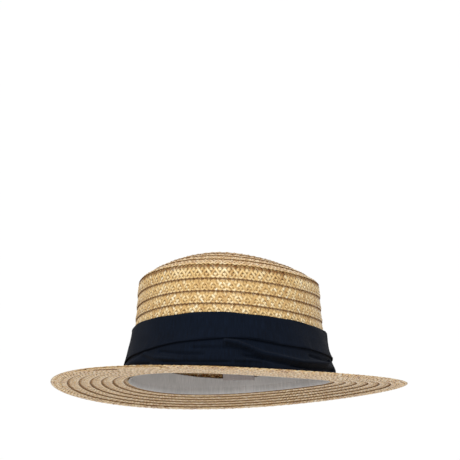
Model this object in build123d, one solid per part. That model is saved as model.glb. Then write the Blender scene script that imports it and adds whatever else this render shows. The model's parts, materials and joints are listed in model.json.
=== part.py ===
from build123d import *
import os
from bisect import bisect_right
from math import atan, cos, degrees, hypot, pi, radians, sin

os.makedirs("parts", exist_ok=True)

# Straw sun hat sewn from overlapping turns of flat braid, with a folded cloth band.
# Lengths are in millimetres. The front of the hat is -Y, and Z is up.
# While it is drawn, Z is 0 where the brim's surface runs into the crown.

# ---- Driving dimensions: form of the hat ----
head_half_width = 84.0        # inside of the straw at the head opening, ear to ear
oval_extra = 16.0             # every oval is this much longer than wide, from centre to front
shoulder_half_width = 74.8    # inside of the straw where the crown's side meets the tip
crown_side_height = 85.3      # brim surface to that shoulder
side_flare_power = 1.6        # how late the side flares out towards the head opening
tip_rise = 19.2               # shoulder to the middle of the tip
tip_fullness = 2.5            # shape of the dome: flatter in the middle when larger
tip_edge_power = 0.9          # roundness of the dome beside the shoulder
brim_width = 66.4             # head opening to rim
brim_bend_radius = 6.0        # bend from the crown's side into the brim

# ---- Driving dimensions: how the worn hat has set ----
crown_front_lift = 0.021      # slope of the crown's turns, up towards the front
crown_saddle = 2.0            # front and back of the crown's turns above their sides
crown_twist = -1.7            # the same, along the diagonals
opening_saddle = -0.6
opening_twist = -2.2
brim_fall = 4.2               # rim below the head opening
brim_front_lift = 4.3         # front of the rim up and back of the rim down
brim_saddle = -1.8
brim_twist = -3.4

# ---- Driving dimensions: straw braid and thread ----
braid_width = 14.0
braid_thickness = 1.1
row_gap = 0.15                # between one turn of braid and the turn lapped over it
tip_row_count = 7
crown_row_count = 8
brim_row_count = 7
bend_share = 0.25             # part of the bend that the crown's last turn covers
thread_width = 0.5
thread_thickness = 0.3
thread_gap = 0.05             # thread off the straw
stitch_gap = 0.2              # straight stitches off the curved cloth
seam_margin = 2.0             # seam from the lapping edge of a turn
button_gap = 0.3              # middle of the tip above the first turn
tail_start_angle = -14.0      # end of the spiral under the rim, degrees from the front
tail_end_angle = -48.0
tail_end_width = 3.0

# ---- Driving dimensions: cloth pieces ----
hatband_height = 46.6
hatband_thickness = 1.2
hatband_clearance = 0.3
fold_height_middle = 19.0     # lower edge of the hatband's upper fold above the brim
fold_height_front = 5.0       # added at the front, taken off at the back
fold_height_right = 3.6       # added at the right, taken off at the left
fold_height_ends = 2.0        # added at the front and back, taken off at the sides
fold_projection = 2.4         # how far the upper fold's edge stands out
fold_step = 1.6               # depth of the step under it
lower_fold_projection = 3.0
lower_fold_height = 11.0      # fullest line of the lower fold
hatband_foot_height = 5.5
tack_count = 6
tack_length = 3.0
sweatband_top_height = 12.0
sweatband_bottom_height = 2.0
sweatband_thickness = 0.7
sweatband_clearance = 0.3
sweatband_seam_height = 7.0
sweatband_stitch_count = 60
sweatband_stitch_length = 4.5
label_width = 28.0
label_height = 20.0
label_thickness = 0.5
label_clearance = 0.4
label_seam_margin = 1.5
label_stitch_count = 7
label_stitch_length = 2.4

turn_samples = 24             # points on each closed curve round the hat
row_steps = 3                 # flats across one turn of braid
bend_row_steps = 8            # the same on the turns that reach into the bend
profile_steps = 120           # points on each stretch of the profile
turn_angles = [2 * pi * i / turn_samples for i in range(turn_samples)]

# ---- Profile of the inner straw surface, from the middle of the tip to the rim ----
side_flare = head_half_width - shoulder_half_width
side_lean = atan(side_flare * side_flare_power / (crown_side_height - brim_bend_radius))
bend_top_height = brim_bend_radius * (1 - sin(side_lean))
brim_start_half_width = head_half_width + brim_bend_radius * cos(side_lean)
rim_half_width = head_half_width + brim_width


def profile_outline():
    """Half-widths and heights of the tip, the side, the bend and the brim, in that order."""
    points = []
    for i in range(profile_steps):
        reach = sin(i / profile_steps * pi / 2)
        rise = tip_rise * (1 - reach**tip_fullness) ** tip_edge_power
        points.append((shoulder_half_width * reach, crown_side_height + rise))
    for i in range(profile_steps):
        drop = i / profile_steps
        height = crown_side_height + (bend_top_height - crown_side_height) * drop
        points.append((shoulder_half_width + side_flare * drop**side_flare_power, height))
    for i in range(profile_steps + 1):
        turned = side_lean + (pi / 2 - side_lean) * i / profile_steps
        across = brim_start_half_width - brim_bend_radius * cos(turned)
        points.append((across, brim_bend_radius * (1 - sin(turned))))
    points.append((rim_half_width + braid_width, 0.0))
    return points


outline = profile_outline()
outline_length = [0.0]
for (w0, h0), (w1, h1) in zip(outline, outline[1:]):
    outline_length.append(outline_length[-1] + hypot(w1 - w0, h1 - h0))

shoulder_at = outline_length[profile_steps]
rim_at = outline_length[-1] - braid_width
tip_pitch = shoulder_at / (tip_row_count + 1)
bend_start_at = outline_length[2 * profile_steps]
bend_end_at = outline_length[-2]
crown_rows_end_at = bend_start_at + (bend_end_at - bend_start_at) * bend_share
crown_pitch = (crown_rows_end_at - shoulder_at) / crown_row_count
brim_pitch = (rim_at - crown_rows_end_at) / brim_row_count

# How far the lapping edge of a turn stands off, to clear the turn that it covers.
row_rise = (braid_thickness + row_gap) * braid_width / min(tip_pitch, crown_pitch, brim_pitch)


def profile_point(along, offset):
    """Half-width and height at a length along the outline, a distance outside it."""
    i = min(max(bisect_right(outline_length, along), 1), len(outline) - 1)
    (w0, h0), (w1, h1) = outline[i - 1], outline[i]
    length = outline_length[i] - outline_length[i - 1]
    part = (along - outline_length[i - 1]) / length
    out_w, out_h = (h0 - h1) / length, (w1 - w0) / length
    return w0 + (w1 - w0) * part + offset * out_w, h0 + (h1 - h0) * part + offset * out_h


def along_at_height(height):
    """Length along the outline where the crown's side or the bend has this height."""
    for i in range(profile_steps, len(outline)):
        if outline[i][1] <= height:
            return outline_length[i]
    return bend_end_at


def set_of_hat(half_width, height, angle):
    """How far the worn hat has moved up or down at a place."""
    half_length = half_width + oval_extra
    reach = min(half_width / shoulder_half_width, 1)
    crown = crown_front_lift * half_length * cos(angle)
    crown += (crown_saddle * cos(2 * angle) + crown_twist * sin(2 * angle)) * reach
    opening = opening_saddle * cos(2 * angle) + opening_twist * sin(2 * angle)
    rim = brim_front_lift * cos(angle) - brim_fall
    rim += brim_saddle * cos(2 * angle) + brim_twist * sin(2 * angle)
    up = min(max(height / hatband_height, 0), 1)
    out = max((half_width - brim_start_half_width) / (rim_half_width - brim_start_half_width), 0)
    return up * crown + (1 - up) * ((1 - out) * opening + out * rim)


def hat_point(along, offset, angle):
    """A point on the hat; the angle is 0 at the front and grows towards +X."""
    half_width, height = profile_point(along, offset)
    z = height + set_of_hat(half_width, height, angle)
    return Vector(half_width * sin(angle), -(half_width + oval_extra) * cos(angle), z)


# ---- Building blocks ----
def ring(corners):
    """Closed ring; each corner of its section is a function from angle to (along, offset)."""
    curves = []
    for corner in corners:
        points = [hat_point(*corner(angle), angle) for angle in turn_angles]
        curves.append(Edge.make_spline(points, periodic=True))
    faces = [Face.make_surface_from_curves(a, b) for a, b in zip(curves, curves[1:] + curves[:1])]
    return Solid(Shell(faces))


def fixed(along, offset):
    """A corner that keeps its place all round the hat."""
    return lambda angle: (along, offset)


def stitch(along, offset, angle, length, upright):
    """Straight stitch on the hat's surface, level or upright, its middle at a place."""
    here = hat_point(along, offset, angle)
    ahead = hat_point(along, offset, angle + 0.01) - here
    out = hat_point(along, offset + 1, angle) - here
    size = (thread_width, length) if upright else (length, thread_width)
    plane = Plane(origin=here, x_dir=ahead, z_dir=out)
    return plane * Box(size[0], size[1], thread_thickness, align=(Align.CENTER, Align.CENTER, Align.MIN))


def braid_row(edge_at):
    """One turn of braid, whose lapping edge is at edge_at."""
    in_bend = edge_at > bend_start_at and edge_at - braid_width < bend_end_at
    steps = bend_row_steps if in_bend else row_steps
    outer = []
    inner = []
    for i in range(steps + 1):
        along = edge_at - braid_width * (1 - i / steps)
        offset = row_rise * i / steps
        inner.append(fixed(along, offset))
        outer.append(fixed(along, offset + braid_thickness))
    return ring(outer + inner[::-1])


def seam_thread(edge_at):
    """The sewing thread's turn on the outside of a row."""
    high_at = edge_at - seam_margin - thread_width
    low_at = edge_at - seam_margin
    high = braid_thickness + row_rise * (1 - (edge_at - high_at) / braid_width) + thread_gap
    low = braid_thickness + row_rise * (1 - seam_margin / braid_width) + thread_gap
    return ring([
        fixed(high_at, high + thread_thickness),
        fixed(low_at, low + thread_thickness),
        fixed(low_at, low),
        fixed(high_at, high),
    ])


def tip_button():
    """Middle of the tip, where the spiral of braid starts: a flat oval on the first turn."""
    half_width = profile_point(tip_pitch, 0)[0]
    lap = (braid_width - tip_pitch) / braid_width
    seat = outline[0][1] + braid_thickness + row_rise * lap + button_gap
    tilt = Rot(X=-degrees(atan(crown_front_lift)))
    plate = extrude(Ellipse(half_width, half_width + oval_extra), braid_thickness)
    plate = fillet(plate.edges().group_by(Axis.Z)[-1], braid_thickness / 3)
    return Pos(Z=seat) * tilt * plate


def braid_tail():
    """Tapered end of the spiral, sewn under the last turn at the rim."""
    steps = 4
    sections = []
    for i in range(steps + 1):
        angle = radians(tail_start_angle + (tail_end_angle - tail_start_angle) * i / steps)
        width = brim_pitch + (tail_end_width - brim_pitch) * i / steps
        inner_at = rim_at - width
        low_in = row_rise * (1 - width / braid_width) - row_gap - braid_thickness
        low_out = row_rise - row_gap - braid_thickness
        sections.append(Wire.make_polygon([
            hat_point(inner_at, low_in, angle),
            hat_point(rim_at, low_out, angle),
            hat_point(rim_at, low_out + braid_thickness, angle),
            hat_point(inner_at, low_in + braid_thickness, angle),
        ]))
    return Solid.make_loft(sections, ruled=True)


# ---- Cloth band round the crown ----
straw_build = braid_thickness + row_rise
band_seat = straw_build + hatband_clearance


def fold_height(angle):
    """Height of the hatband's fold line above the brim."""
    height = fold_height_middle + fold_height_front * cos(angle)
    return height + fold_height_right * sin(angle) + fold_height_ends * cos(2 * angle)


def hatband():
    """Cloth strip folded along its length, lower fold under upper fold."""
    cloth = band_seat + hatband_thickness
    top_at = along_at_height(hatband_height)
    foot_at = along_at_height(hatband_foot_height)
    low_at = along_at_height(lower_fold_height)
    under_fold = cloth + fold_projection - fold_step
    return ring([
        fixed(top_at, cloth),
        lambda angle: ((top_at + along_at_height(fold_height(angle))) / 2, cloth + fold_projection / 2),
        lambda angle: (along_at_height(fold_height(angle)), cloth + fold_projection),
        lambda angle: (along_at_height(fold_height(angle)) + fold_step / 4, under_fold),
        fixed(low_at, cloth + lower_fold_projection),
        fixed(foot_at, cloth + lower_fold_projection / 2),
        fixed(foot_at, band_seat),
        fixed(low_at, band_seat),
        fixed((top_at + low_at) / 2, band_seat),
        fixed(top_at, band_seat),
    ])


def hatband_tacks():
    """Upright stitches that hold the hatband's top edge, round the back half."""
    top_at = along_at_height(hatband_height)
    offset = band_seat + hatband_thickness + stitch_gap
    tacks = []
    for i in range(tack_count):
        angle = pi * (0.5 + (i + 0.5) / tack_count)
        tacks.append(stitch(top_at, offset, angle, tack_length, upright=True))
    return Compound(tacks)


# ---- Sweatband and label inside the head opening ----
sweatband_face = -sweatband_clearance - sweatband_thickness


def sweatband():
    """Cloth tape sewn inside the head opening."""
    places = []
    for i in range(row_steps + 1):
        height = sweatband_top_height + (sweatband_bottom_height - sweatband_top_height) * i / row_steps
        places.append(along_at_height(height))
    outer = [fixed(along, -sweatband_clearance) for along in places]
    inner = [fixed(along, sweatband_face) for along in places]
    return ring(outer + inner[::-1])


def sweatband_stitching():
    """Running stitches along the sweatband."""
    seam_at = along_at_height(sweatband_seam_height)
    offset = sweatband_face - stitch_gap - thread_thickness
    stitches = []
    for i in range(sweatband_stitch_count):
        angle = 2 * pi * (i + 0.5) / sweatband_stitch_count
        stitches.append(stitch(seam_at, offset, angle, sweatband_stitch_length, upright=False))
    return Compound(stitches)


def wall_behind_label(height):
    """Y of the straw at the label's side edges, at a height at the back of the crown."""
    half_width = profile_point(along_at_height(height), 0)[0]
    half_length = half_width + oval_extra
    return half_length * (1 - (label_width / 2 / half_width) ** 2) ** 0.5


label_foot_height = sweatband_top_height + label_clearance + set_of_hat(head_half_width, sweatband_top_height, pi)
label_foot_y = wall_behind_label(sweatband_top_height) + sweatband_face - label_clearance
label_lean = atan(
    (wall_behind_label(sweatband_top_height) - wall_behind_label(sweatband_top_height + label_height))
    / label_height
)
label_place = Pos(0, label_foot_y, label_foot_height) * Rot(X=degrees(label_lean))


def label():
    """Blank cloth tag that stands on the sweatband's top edge at the centre back."""
    blank = Box(label_width, label_thickness, label_height, align=(Align.CENTER, Align.MIN, Align.MIN))
    return label_place * blank


def label_stitching():
    """Stitches along the label's sewn edge."""
    pitch = label_width / label_stitch_count
    stitches = []
    for i in range(label_stitch_count):
        across = (i + 0.5) * pitch - label_width / 2
        thread = Box(label_stitch_length, thread_thickness, thread_width)
        depth = -thread_gap - thread_thickness / 2
        stitches.append(label_place * Pos(across, depth, label_seam_margin) * thread)
    return Compound(stitches)


# ---- The pieces ----
pieces = {"tip_button": tip_button()}
seams = {"tip_stitching": [], "crown_stitching": [], "brim_stitching": []}
zones = (
    ("tip", tip_row_count, tip_pitch, tip_pitch),
    ("crown", crown_row_count, shoulder_at, crown_pitch),
    ("brim", brim_row_count, crown_rows_end_at, brim_pitch),
)
for zone, count, start_at, pitch in zones:
    for i in range(count):
        edge_at = start_at + pitch * (i + 1)
        pieces[f"{zone}_row_{i + 1}"] = braid_row(edge_at)
        seams[f"{zone}_stitching"].append(seam_thread(edge_at))
for name, threads in seams.items():
    pieces[name] = Compound(threads)
pieces["braid_tail"] = braid_tail()
pieces["hatband"] = hatband()
pieces["hatband_tacks"] = hatband_tacks()
pieces["sweatband"] = sweatband()
pieces["sweatband_stitching"] = sweatband_stitching()
pieces["label"] = label()
pieces["label_stitching"] = label_stitching()

# The finished hat stands on the lowest edge of its brim, and the origin is under its middle.
stand_height = -min(piece.bounding_box().min.Z for piece in pieces.values())
for name, piece in pieces.items():
    export_step(Pos(Z=stand_height) * piece, f"parts/{name}.step")

print("brim surface above the base:", round(stand_height, 3))
print("label's hinge line:", round(label_foot_y, 3), round(label_foot_height + stand_height, 3))
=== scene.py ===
"""Straw sun hat: plaited straw, folded cloth band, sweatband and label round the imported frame."""

import json
import logging
import math
from collections.abc import Callable
from dataclasses import dataclass, field
from enum import Enum

import bpy
import numpy as np
from bpy.types import Material, NodeSocket, Object
from mathutils import Matrix, Vector
from numpy import ndarray


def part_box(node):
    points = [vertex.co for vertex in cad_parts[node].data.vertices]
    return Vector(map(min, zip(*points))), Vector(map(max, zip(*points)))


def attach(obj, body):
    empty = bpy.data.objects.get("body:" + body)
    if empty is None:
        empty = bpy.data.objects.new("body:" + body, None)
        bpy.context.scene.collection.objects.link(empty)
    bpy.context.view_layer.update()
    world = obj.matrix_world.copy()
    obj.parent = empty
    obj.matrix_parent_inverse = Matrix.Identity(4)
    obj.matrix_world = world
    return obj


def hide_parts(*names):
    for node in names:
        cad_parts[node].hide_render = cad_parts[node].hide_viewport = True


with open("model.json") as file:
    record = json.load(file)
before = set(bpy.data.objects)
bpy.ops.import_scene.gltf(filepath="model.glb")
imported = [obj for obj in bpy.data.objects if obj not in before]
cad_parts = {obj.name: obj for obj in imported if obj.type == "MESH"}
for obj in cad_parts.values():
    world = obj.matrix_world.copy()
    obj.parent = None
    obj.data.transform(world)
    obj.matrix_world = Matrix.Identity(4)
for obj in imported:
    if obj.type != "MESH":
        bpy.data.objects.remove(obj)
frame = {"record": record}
log = logging.getLogger("straw_hat")
MM = 0.001


# ---------------------------------------------------------------- shader maths


class Wire:
    """A value socket of a material, with the usual arithmetic."""

    def __init__(self, tree: "FinishTree", socket: NodeSocket) -> None:
        """Wrap a socket."""
        self.tree = tree
        self.socket = socket

    def math(self, operation: str, *others: "Wire | float", first: "Wire | float | None" = None) -> "Wire":
        """Add one Math node; first stands in for this value where it isn't the first operand."""
        operands = (self if first is None else first, *others)
        return self.tree.node("ShaderNodeMath", {"operation": operation}, dict(enumerate(operands)))

    def joined(operation: str) -> Callable:
        """Method that joins this value with another by a Math node."""
        return lambda self, other: self.math(operation, other)

    __add__ = __radd__ = joined("ADD")
    __mul__ = __rmul__ = joined("MULTIPLY")
    __sub__ = joined("SUBTRACT")
    __truediv__ = joined("DIVIDE")
    __pow__ = joined("POWER")

    def __rsub__(self, other: float) -> "Wire":
        """Difference from a number."""
        return self.math("SUBTRACT", self, first=other)

    def wave(self) -> "Wire":
        """Sine, brought to 0..1."""
        return self.math("SINE") * 0.5 + 0.5

    def between(self, low: float, high: float) -> "Wire":
        """Smooth step from 0 at low to 1 at high."""
        inputs = {"Value": self, "From Min": low, "From Max": high}
        return self.tree.node("ShaderNodeMapRange", {"interpolation_type": "SMOOTHSTEP"}, inputs)


class FinishTree:
    """Node tree of one finish."""

    def __init__(self, name: str) -> None:
        """Make an empty material with a Principled shader."""
        self.material = bpy.data.materials.new(name)
        self.material.use_nodes = True
        self.nodes = self.material.node_tree.nodes
        self.links = self.material.node_tree.links
        self.shader = self.nodes["Principled BSDF"]

    def node(self, kind: str, settings: dict, inputs: dict, output: str | int = 0) -> Wire:
        """Add any node.

        Args:
            kind: the node's type.
            settings: its properties; "stops" sets a ramp's places and colours.
            inputs: values or wires for its sockets, by name or place.
            output: which output to return.

        Returns:
            That output.
        """
        made = self.nodes.new(kind)
        for key, value in settings.items():
            if key == "stops":
                ramp = made.color_ramp.elements
                while len(ramp) < len(value):
                    ramp.new(1.0)
                for element, (place, colour) in zip(ramp, value):
                    element.position = place
                    element.color = (*colour, 1.0)
            else:
                setattr(made, key, value)
        for key, value in inputs.items():
            if isinstance(value, Wire):
                self.links.new(value.socket, made.inputs[key])
            else:
                made.inputs[key].default_value = value
        return Wire(self, made.outputs[output])

    def attribute(self, name: str) -> Wire:
        """A number stored on the mesh."""
        return self.node("ShaderNodeAttribute", {"attribute_name": name}, {}, "Fac")

    def places(self, layer: str) -> Wire:
        """Coordinates from a UV layer."""
        return self.node("ShaderNodeUVMap", {"uv_map": layer}, {})

    def axis(self, vector: Wire, number: int) -> Wire:
        """One axis of a vector."""
        return self.node("ShaderNodeSeparateXYZ", {}, {0: vector}, number)

    def noise(self, where: Wire, scale: float, detail: float = 2.0) -> Wire:
        """Noise about 0.5, with a scale in waves per unit."""
        return self.node("ShaderNodeTexNoise", {}, {"Vector": where, "Scale": scale, "Detail": detail})

    def stretched(self, where: Wire, scale: tuple[float, float, float]) -> Wire:
        """Coordinates times a scale per axis."""
        return self.node("ShaderNodeVectorMath", {"operation": "MULTIPLY"}, {0: where, 1: scale})

    def ramp(self, value: Wire, stops: list) -> Wire:
        """Colour from a value."""
        return self.node("ShaderNodeValToRGB", {"stops": stops}, {0: value})

    def tint(self, colour: Wire, by: "Wire | tuple", amount: "Wire | float", blend: str = "MULTIPLY") -> Wire:
        """Mix one colour with another, by an amount."""
        second = by if isinstance(by, Wire) else (*by, 1.0)
        settings = {"data_type": "RGBA", "blend_type": blend}
        return self.node("ShaderNodeMix", settings, {0: amount, 6: colour, 7: second}, 2)

    def bump(self, height: Wire, depth: float, strength: float) -> Wire:
        """Normal from a height of 0 to 1; depth is what 1 stands for, in metres."""
        return self.node("ShaderNodeBump", {}, {"Strength": strength, "Distance": depth, "Height": height})

    def finish(self, links: dict, constants: dict) -> Material:
        """Link wires to the shader and set its plain values."""
        for key, value in links.items():
            self.links.new(value.socket, self.shader.inputs[key])
        for key, value in constants.items():
            self.shader.inputs[key].default_value = value
        return self.material


# ---------------------------------------------------------------- finishes


@dataclass(frozen=True)
class WheatStraw:
    """Glossy natural wheat straw. UV runs in millimetres: along the straw, and across it."""

    deep: tuple = (0.33, 0.165, 0.045)
    brown: tuple = (0.55, 0.33, 0.115)
    gold: tuple = (0.73, 0.50, 0.20)
    pale: tuple = (0.88, 0.71, 0.41)
    cream: tuple = (0.98, 0.93, 0.74)
    # colour of the painted shade: at straw edges, where turns lap, and on the crown's inner side
    shade: tuple = (0.20, 0.07, 0.006)
    level_light_tint: tuple = (0.82, 0.57, 0.40)
    level_light_share: float = 0.45
    edge_shade_share: float = 0.4
    roughness: float = 0.3
    gloss: float = 0.55

    def make(self) -> Material:
        """Build the material.

        Returns:
            The material.
        """
        tree = FinishTree("wheat_straw")
        straw = tree.places("straw")
        tone = tree.attribute("tone")
        fibre = tree.noise(tree.stretched(straw, (0.12, 5.0, 1.0)), 1.0, 3.0)
        blotch = tree.noise(tree.stretched(straw, (0.34, 0.4, 1.0)), 1.0, 2.0)
        value = tone * 0.72 + (fibre - 0.5) * 0.34 + (blotch - 0.5) * 0.95 + 0.14
        colour = tree.ramp(value, [
            (0.0, self.deep), (0.2, self.brown), (0.45, self.gold), (0.75, self.pale), (1.0, self.cream)
        ])
        # painted light: faces that lie level, as under the brim and on the tip, are mixed towards a paler
        # pinkish tone for how the light falls on them
        facing = tree.node("ShaderNodeNewGeometry", {}, {}, "Normal")
        level = tree.axis(facing, 2).math("ABSOLUTE").between(0.45, 0.85)
        colour = tree.tint(colour, self.level_light_tint, level * self.level_light_share, "MIX")
        # painted shade: each straw is darker towards its edges, where it rounds away and runs under its
        # neighbours
        across = tree.axis(straw, 1)
        rim = across.math("ABSOLUTE").between(1.15, 1.7)
        colour = tree.tint(colour, self.shade, rim * self.edge_shade_share)
        # painted shade: the lap number darkens the straw where turns lap over each other and on the inner
        # side of crown and tip; there the straw is also rougher and has no coat
        lap = tree.attribute("lap")
        colour = tree.tint(colour, self.shade, lap)
        rough = (fibre - 0.5) * 0.35 + (blotch - 0.5) * 0.25 + lap * 0.6 + self.roughness
        relief = tree.noise(tree.stretched(straw, (0.1, 9.0, 1.0)), 1.0, 2.0)
        normal = tree.bump(relief, 0.12 * MM, 0.7)
        return tree.finish(
            {
                "Base Color": colour, "Roughness": rough, "Normal": normal,
                "Coat Weight": (1.0 - lap) * self.gloss,
            },
            {"Specular IOR Level": 0.2, "Coat Roughness": self.roughness, "Coat IOR": 1.45},
        )


class ThreadColour(Enum):
    """Sewing threads of the hat."""

    STRAW = ("straw_thread", (0.42, 0.25, 0.10))
    NAVY = ("navy_thread", (0.015, 0.02, 0.04))
    COTTON = ("cotton_thread", (0.45, 0.42, 0.40))


@dataclass(frozen=True)
class Thread:
    """Twisted sewing thread. UV runs in millimetres along the thread, and once round it."""

    colour: ThreadColour
    twist_pitch: float = 0.7

    def make(self) -> Material:
        """Build the material.

        Returns:
            The material.
        """
        name, base = self.colour.value
        tree = FinishTree(name)
        places = tree.places("straw")
        along = tree.axis(places, 0)
        round_it = tree.axis(places, 1)
        ply = ((along / self.twist_pitch + round_it) * (2 * math.pi)).wave()
        # painted light and shade: the plies of the twist are lighter on their crowns and darker in the
        # grooves between them
        lit = tuple(min(1.0, c * 1.5) for c in base)
        colour = tree.ramp(ply, [(0.0, tuple(c * 0.55 for c in base)), (0.6, base), (1.0, lit)])
        normal = tree.bump(ply, 0.1 * MM, 0.8)
        return tree.finish({"Base Color": colour, "Normal": normal}, {"Roughness": 0.75, "Sheen Weight": 0.2})


@dataclass(frozen=True)
class RibbedCloth:
    """Woven cloth with upright ribs and slubs. UV runs in millimetres: round the hat, and up it."""

    name: str
    dark: tuple
    light: tuple
    rib_pitch: float = 0.55
    pick_pitch: float = 0.42
    slub: float = 0.5
    depth: float = 0.12
    roughness: float = 0.85
    sheen: float = 0.02

    def make(self) -> Material:
        """Build the material.

        Returns:
            The material.
        """
        tree = FinishTree(self.name)
        cloth = tree.places("cloth")
        across = tree.axis(cloth, 0)
        up = tree.axis(cloth, 1)
        sway = tree.noise(tree.stretched(cloth, (0.15, 0.08, 1.0)), 1.0) * 1.5
        rib = ((across + sway) * (2 * math.pi / self.rib_pitch)).wave()
        pick = (up * (2 * math.pi / self.pick_pitch)).wave()
        weave = rib * 0.65 + pick * 0.35
        slub = tree.noise(tree.stretched(cloth, (1.6, 0.10, 1.0)), 1.0, 3.0)
        cloud = tree.noise(tree.stretched(cloth, (0.03, 0.05, 1.0)), 1.0, 2.0)
        value = weave * 0.3 + slub.between(0.35, 0.72) * self.slub + (cloud - 0.5) * 0.5 + 0.1
        colour = tree.ramp(value, [(0.0, self.dark), (1.0, self.light)])
        height = weave * 0.6 + slub * 0.4
        rough = (slub - 0.5) * 0.2 + self.roughness
        return tree.finish(
            {"Base Color": colour, "Roughness": rough, "Normal": tree.bump(height, self.depth * MM, 0.8)},
            {"Sheen Weight": self.sheen, "Sheen Roughness": 0.5, "Specular IOR Level": 0.06},
        )


@dataclass(frozen=True)
class StudioFloor:
    """Plain near-white floor."""

    albedo: float = 0.9

    def make(self) -> Material:
        """Build the material."""
        tree = FinishTree("studio_floor")
        return tree.finish({}, {"Base Color": (self.albedo,) * 3 + (1.0,), "Roughness": 0.9})


# ---------------------------------------------------------------- form of the hat, in millimetres


@dataclass
class HatForm:
    """Inner straw surface of the hat, as the frame has it."""

    lift: float
    rim_half_width: float
    oval_extra: float
    head_half_width: float = 84.0
    shoulder_half_width: float = 74.8
    crown_side_height: float = 85.3
    side_flare_power: float = 1.6
    tip_rise: float = 19.2
    tip_fullness: float = 2.5
    tip_edge_power: float = 0.9
    bend_radius: float = 6.0
    bend_share: float = 0.25
    braid_width: float = 14.0
    braid_thickness: float = 1.1
    row_gap: float = 0.15
    rows: tuple = (("tip", 7), ("crown", 8), ("brim", 7))
    crown_front_lift: float = 0.021
    crown_set: tuple = (2.0, -1.7)
    opening_set: tuple = (-0.6, -2.2)
    rim_set: tuple = (-1.8, -3.4)
    rim_fall: float = 4.2
    rim_front_lift: float = 4.3
    set_height: float = 46.6
    turn_thickness: float = 0.85
    turn_clearance: float = 0.8
    steps: int = 160
    round_steps: int = 720

    def __post_init__(self) -> None:
        """Work out the outline and the pitches of the turns."""
        self.head_round = 2 * math.pi * (self.head_half_width + self.oval_extra / 2)
        flare = self.head_half_width - self.shoulder_half_width
        lean = math.atan(flare * self.side_flare_power / (self.crown_side_height - self.bend_radius))
        bend_top = self.bend_radius * (1 - math.sin(lean))
        self.brim_start = self.head_half_width + self.bend_radius * math.cos(lean)
        part = np.arange(self.steps) / self.steps
        reach = np.sin(part * math.pi / 2)
        turned = lean + (math.pi / 2 - lean) * np.arange(self.steps + 1) / self.steps
        self.wide = np.concatenate([
            self.shoulder_half_width * reach,
            self.shoulder_half_width + flare * part**self.side_flare_power,
            self.brim_start - self.bend_radius * np.cos(turned),
            [self.rim_half_width + self.braid_width],
        ])
        self.high = np.concatenate([
            self.crown_side_height + self.tip_rise * (1 - reach**self.tip_fullness) ** self.tip_edge_power,
            self.crown_side_height + (bend_top - self.crown_side_height) * part,
            self.bend_radius * (1 - np.sin(turned)),
            [0.0],
        ])
        run = np.hypot(np.diff(self.wide), np.diff(self.high))
        self.length = np.concatenate([[0.0], np.cumsum(run)])
        self.middle = (self.length[1:] + self.length[:-1]) / 2
        self.out_wide = -np.diff(self.high) / run
        self.out_high = np.diff(self.wide) / run
        shoulder = self.length[self.steps]
        bend_start, bend_end = self.length[2 * self.steps], self.length[-2]
        crown_end = bend_start + (bend_end - bend_start) * self.bend_share
        rim = self.length[-1] - self.braid_width
        counts = dict(self.rows)
        starts = {"tip": 0.0, "crown": shoulder, "brim": crown_end}
        ends = {"tip": shoulder, "crown": crown_end, "brim": rim}
        spare = {"tip": 1, "crown": 0, "brim": 0}
        self.pitch = {z: (ends[z] - starts[z]) / (counts[z] + spare[z]) for z in counts}
        self.edge_start = {z: ends[z] - self.pitch[z] * counts[z] for z in counts}
        self.rise = (self.braid_thickness + self.row_gap) * self.braid_width / min(self.pitch.values())
        self.lay_rise = self.turn_thickness * self.braid_width / min(self.pitch.values())

    def straw_middle(self, across: ndarray) -> ndarray:
        """Distance from the inner surface to a turn's straw, at a share of the braid's width."""
        return self.turn_clearance + self.turn_thickness / 2 + self.lay_rise * across

    def along_at_height(self, height: ndarray) -> ndarray:
        """Length along the outline where the crown's side has a height."""
        side = slice(self.steps, 3 * self.steps + 1)
        return np.interp(-np.asarray(height, float), -self.high[side], self.length[side])

    def settle(self, half_width: ndarray, height: ndarray, angle: ndarray) -> ndarray:
        """How far the worn hat has moved up or down.

        Args:
            half_width: half-widths of the ovals.
            height: heights above the brim.
            angle: angles from the front.

        Returns:
            The moves.
        """
        twice = np.cos(2 * angle), np.sin(2 * angle)
        reach = np.minimum(half_width / self.shoulder_half_width, 1)
        crown = self.crown_front_lift * (half_width + self.oval_extra) * np.cos(angle)
        crown = crown + (self.crown_set[0] * twice[0] + self.crown_set[1] * twice[1]) * reach
        opening = self.opening_set[0] * twice[0] + self.opening_set[1] * twice[1]
        rim = self.rim_front_lift * np.cos(angle) - self.rim_fall
        rim = rim + self.rim_set[0] * twice[0] + self.rim_set[1] * twice[1]
        up = np.clip(height / self.set_height, 0, 1)
        out = np.maximum((half_width - self.brim_start) / (self.rim_half_width - self.brim_start), 0)
        return up * crown + (1 - up) * ((1 - out) * opening + out * rim)

    def place(self, along: ndarray, offset: ndarray, angle: ndarray) -> ndarray:
        """Points on the hat, in metres in the frame.

        Args:
            along: lengths from the middle of the tip.
            offset: distances outside the inner surface.
            angle: angles from the front, growing towards +X.

        Returns:
            The points, in the last axis.
        """
        along, offset, angle = np.broadcast_arrays(along, offset, angle)
        half_width = np.interp(along, self.length, self.wide)
        half_width = half_width + offset * np.interp(along, self.middle, self.out_wide)
        height = np.interp(along, self.length, self.high)
        height = height + offset * np.interp(along, self.middle, self.out_high)
        z = height + self.settle(half_width, height, angle) + self.lift
        x = half_width * np.sin(angle)
        y = -(half_width + self.oval_extra) * np.cos(angle)
        return np.stack([x, y, z], -1) * MM

    def round_trip(self, along: float, offset: float) -> tuple[ndarray, ndarray]:
        """Angles once round the hat, and the length from the front to each."""
        angle = np.linspace(0, 2 * math.pi, self.round_steps + 1)
        points = self.place(along, offset, angle) / MM
        run = np.linalg.norm(np.diff(points, axis=0), axis=1)
        return angle, np.concatenate([[0.0], np.cumsum(run)])


# ---------------------------------------------------------------- meshes


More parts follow.
